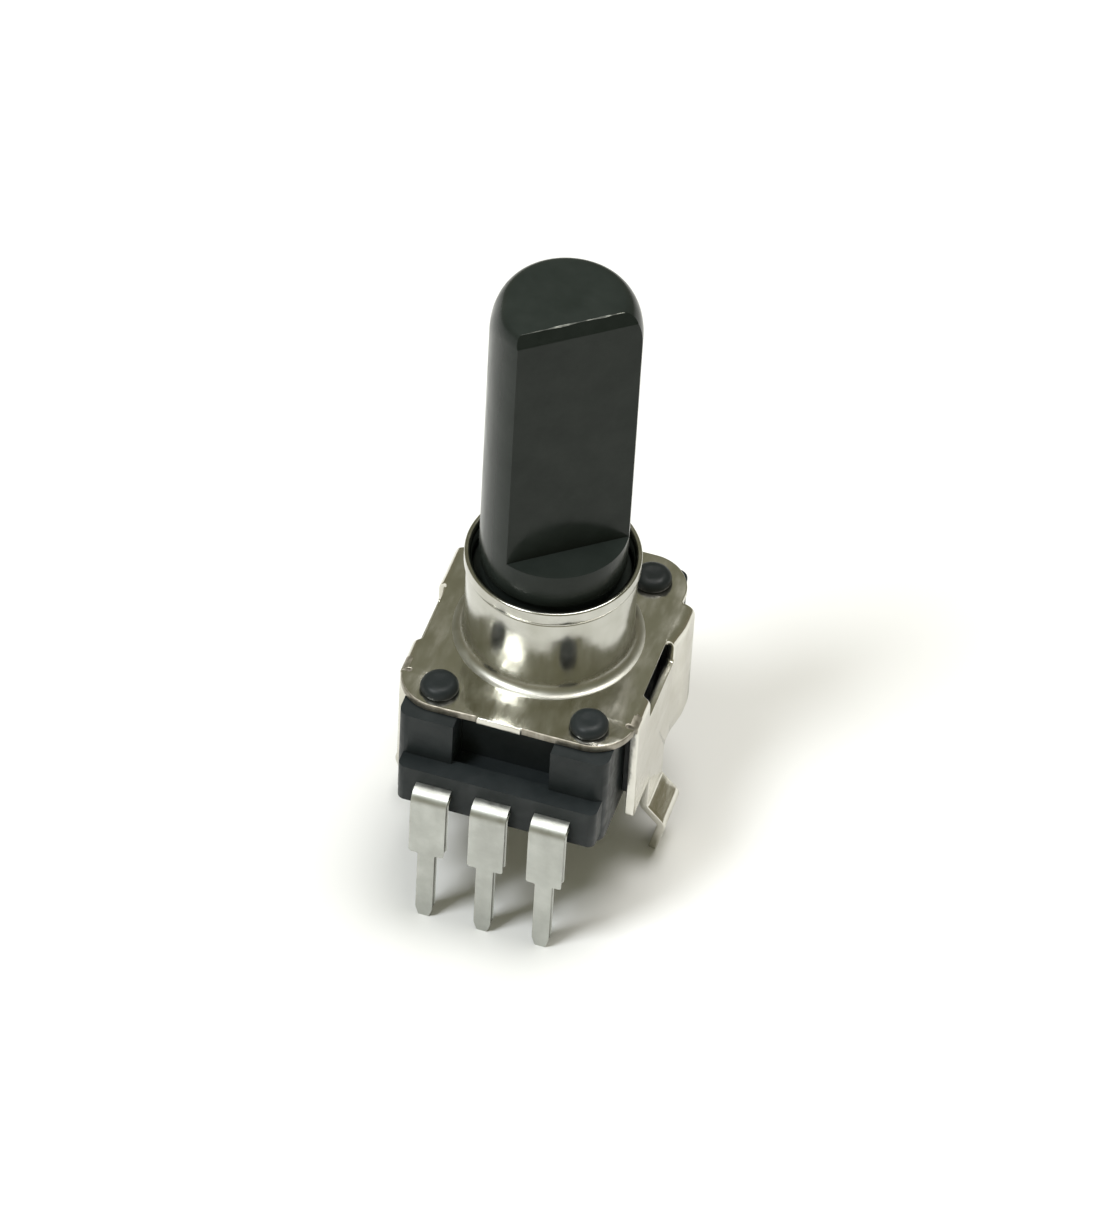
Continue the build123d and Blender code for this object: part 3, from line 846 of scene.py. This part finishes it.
ends = [u for u in (-2.70 + 0.02 * k for k in range(271)) if tip_top(u) > ST - 0.075]
u_a, u_b = min(ends), max(ends)
for i in range(N + 1):
    u = u_a + (u_b - u_a) * i / N
    zs = min(ST - 0.030, tip_top(u) - 0.012)
    w = 0.5 + 0.5 * noise.noise(Vector((u * 1.3 + 11.7, 3.3, 0)))
    w2 = 0.5 + 0.5 * noise.noise(Vector((u * 5.0, 9.1, 4.0)))
    w3 = 0.5 + 0.5 * noise.noise(Vector((u * 9.0, 2.7, 8.0)))
    bright = math.exp(-((u + 0.75) / 0.42) ** 2) + 0.75 * math.exp(-((u - 0.95) / 0.26) ** 2)
    size = 0.004 + 0.016 * w * w2 * max(0.10, min(1.0, (1.35 - u) / 0.6)) + (0.020 + 0.020 * w3) * bright
    size *= min(1.0, (i + 1) / 8.0, (N + 1 - i) / 8.0)
    dd = 1.346 + 0.012 * (w - 0.5)
    zt = min(24.998, zs + 0.002 + size * 0.55)
    c = FN * dd + FC * u
    row = [c + FN * (-size * 0.9) + Vector((0, 0, zs - 0.015)), c + FN * (-size * 0.35) + Vector((0, 0, zt - 0.004)),
           c + FN * (size * 0.35) + Vector((0, 0, zt)), c + FN * (size * 0.9 + 0.006) + Vector((0, 0, zs - 0.02 - size * 0.9)), c + FN * (-0.03) + Vector((0, 0, zs - 0.07))]
    row = [bm.verts.new(p) for p in row]
    if prev:
        for a in range(5):
            b = (a + 1) % 5
            bm.faces.new((prev[a], prev[b], row[b], row[a]))
    else:
        bm.faces.new(row)
    prev = row
bm.faces.new(prev)
finish_piece(bm_obj(bm, "flash"), "shaft_flash", "spindle", M_FLASH, (), 50.0)

# --------------------------------------------------- carried-over CAD nodes
for node, mat in (("rotor", M_ROTOR), ("code_disc", M_BRONZE), ("click_spring", M_SPRING), ("thrust_washer", M_WASHER),
                  ("brush_a", M_BRONZE), ("brush_b", M_BRONZE), ("brush_c", M_BRONZE)):
    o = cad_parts[node]
    if not o.material_slots:
        o.data.materials.append(mat)
    for s in o.material_slots:
        s.material = mat

# ------------------------------------------------------------------- stage
f = Mat("floor_paper").set(rough=0.85, spec=0.2)
gr = f.nt.nodes.new("ShaderNodeVectorMath")
gr.operation = "LENGTH"
f.link(f.obj, gr.inputs[0])
far_floor_shade = f.ramp(gr.outputs["Value"], 0.0, 1.0, 0.16, 0.34)      # the floor is painted darker from 0.16 m out, as painted shade of the dim room
f.colour(f.colours(f.add(far_floor_shade, f.ramp(f.noise(f.coords(1, 1, 1), 40.0, 4.0), -0.01, 0.01)),
                   [(0.0, (0.905, 0.905, 0.905)), (0.1, (0.905, 0.905, 0.90)), (1.0, (0.30, 0.295, 0.24))]))
f.normal(f.bump(f.noise(f.coords(1, 1, 1), 2500.0, 3.0), 0.05, 0.02))
bm = bmesh.new()
bmesh.ops.create_grid(bm, x_segments=4, y_segments=4, size=1.5)
me = bpy.data.meshes.new("floor")
bm.to_mesh(me)
bm.free()
floor = bpy.data.objects.new("floor", me)
floor.location = (0, 0, FLOOR_Z)
scene.collection.objects.link(floor)
me.materials.append(f.m)

world = bpy.data.worlds.new("world")
scene.world = world
world.use_nodes = True
wt = world.node_tree
bg = wt.nodes["Background"]
tc = wt.nodes.new("ShaderNodeTexCoord")
sep = wt.nodes.new("ShaderNodeSeparateXYZ")
wt.links.new(tc.outputs["Generated"], sep.inputs["Vector"])
rmp = wt.nodes.new("ShaderNodeValToRGB")
mr = wt.nodes.new("ShaderNodeMapRange")
mr.inputs["From Min"].default_value = -1.0
mr.inputs["From Max"].default_value = 1.0
wt.links.new(sep.outputs["Z"], mr.inputs["Value"])
wt.links.new(mr.outputs["Result"], rmp.inputs["Fac"])
e = rmp.color_ramp.elements
e[0].position = 0.50
e[0].color = (0.30, 0.275, 0.185, 1)
e[1].position = 0.62
e[1].color = (0.27, 0.255, 0.18, 1)
for pos, col in ((0.80, (0.26, 0.257, 0.180)), (0.90, (0.26, 0.257, 0.180)), (1.0, (0.25, 0.255, 0.23))):
    el = e.new(pos)
    el.color = (*col, 1)
side = wt.nodes.new("ShaderNodeVectorMath")                      # the room is a little dimmer behind the object
side.operation = "DOT_PRODUCT"
side.inputs[1].default_value = (0.0, -1.0, 0.0)
wt.links.new(tc.outputs["Generated"], side.inputs[0])
dim = wt.nodes.new("ShaderNodeMapRange")
dim.inputs["From Min"].default_value = -0.5
dim.inputs["From Max"].default_value = 0.5
dim.inputs["To Min"].default_value = 0.76
dim.inputs["To Max"].default_value = 1.15
wt.links.new(side.outputs["Value"], dim.inputs["Value"])
wt.links.new(dim.outputs["Result"], bg.inputs["Strength"])
wt.links.new(rmp.outputs["Color"], bg.inputs["Color"])


def area(name, azimuth, elevation, dist, size, power, color=(1, 1, 1), target=(0, 0, 0.008)):
    """Area light seen from the target at this azimuth (from -Y towards +X) and elevation."""
    l = bpy.data.lights.new(name, "AREA")
    if isinstance(size, tuple):
        l.shape = "RECTANGLE"
        l.size, l.size_y = size
    else:
        l.shape = "DISK"
        l.size = size
    l.energy = power
    l.color = color
    o = bpy.data.objects.new(name, l)
    a, h = math.radians(azimuth), math.radians(elevation)
    d = Vector((math.sin(a) * math.cos(h), -math.cos(a) * math.cos(h), math.sin(h)))
    o.location = Vector(target) + d * dist
    o.rotation_euler = (-d).to_track_quat("-Z", "Y").to_euler()
    scene.collection.objects.link(o)
    return o


area("key", -41, 60, 0.35, (0.08, 0.11), 0.75, (0.95, 0.98, 1.0))
area("overhead", 152, 76, 0.38, 0.22, 0.98, (1.0, 0.985, 0.96))
